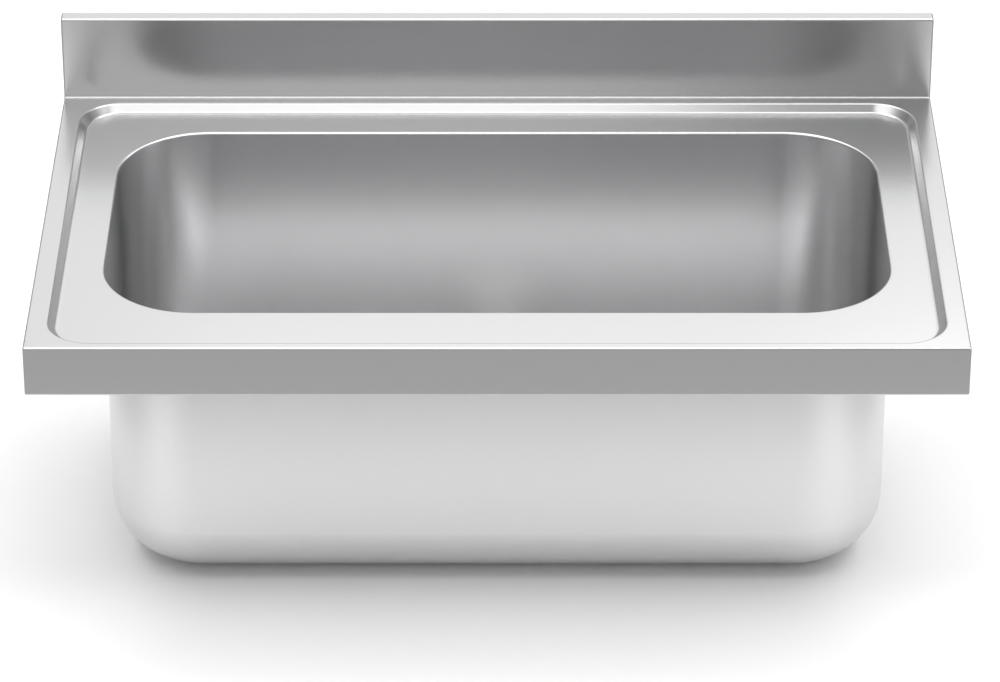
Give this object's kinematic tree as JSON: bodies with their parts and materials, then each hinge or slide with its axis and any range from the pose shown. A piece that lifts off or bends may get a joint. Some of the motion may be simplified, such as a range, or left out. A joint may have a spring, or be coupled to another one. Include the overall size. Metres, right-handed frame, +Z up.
{
  "type": "cabinet sink top",
  "caption": "Folded stainless steel sink top with a pressed recess, an upstand, one deep rounded bowl, under-deck stiffening and a basket strainer waste.",
  "frame": {"origin": "plan centre of the cabinet seat plane, the underside of the return flanges that rest on the cabinet", "axes": "+X to the right as the user faces the sink, +Y towards the wall, +Z up"},
  "size_m": [1, 0.6, 0.5378],
  "materials": {
    "steel_sheet": "satin polished stainless sheet",
    "steel_dull": "mill finish stainless sheet",
    "zinc_plate": "zinc plated",
    "sound_pad": "matt bitumen sheet",
    "rubber_black": "matt rubber",
    "steel_bright": "bright polished stainless",
    "plastic_white": "moulded polypropylene"
  },
  "bodies": {
    "sink_top": {"deck": "steel_sheet", "bowl": "steel_sheet", "rear_panel": "steel_sheet", "end_cap_left": "steel_sheet", "end_cap_right": "steel_sheet", "stiffener_front": "steel_dull", "stiffener_rear": "steel_dull", "stiffener_left": "steel_dull", "stiffener_right": "steel_dull", "corner_bracket_front_left": "steel_dull", "corner_bracket_front_right": "steel_dull", "corner_bracket_rear_left": "steel_dull", "corner_bracket_rear_right": "steel_dull", "bonding_tab": "steel_dull", "bonding_screw": "zinc_plate", "bonding_nut": "zinc_plate", "bonding_washers": "zinc_plate", "sound_pad_left": "sound_pad", "sound_pad_right": "sound_pad", "rim_gasket": "rubber_black", "strainer_dish": "steel_bright", "under_gasket": "rubber_black", "waste_body": "plastic_white", "centre_screw": "steel_bright"},
    "basket": {"basket": "steel_bright", "basket_stem": "steel_bright", "basket_knob": "rubber_black", "stopper_seal": "rubber_black"}
  },
  "joints": [
    {"name": "basket_lift", "type": "slide", "parent": "sink_top", "child": "basket", "axis": [0, 0, 1], "range_m": [0, 0.06]}
  ]
}
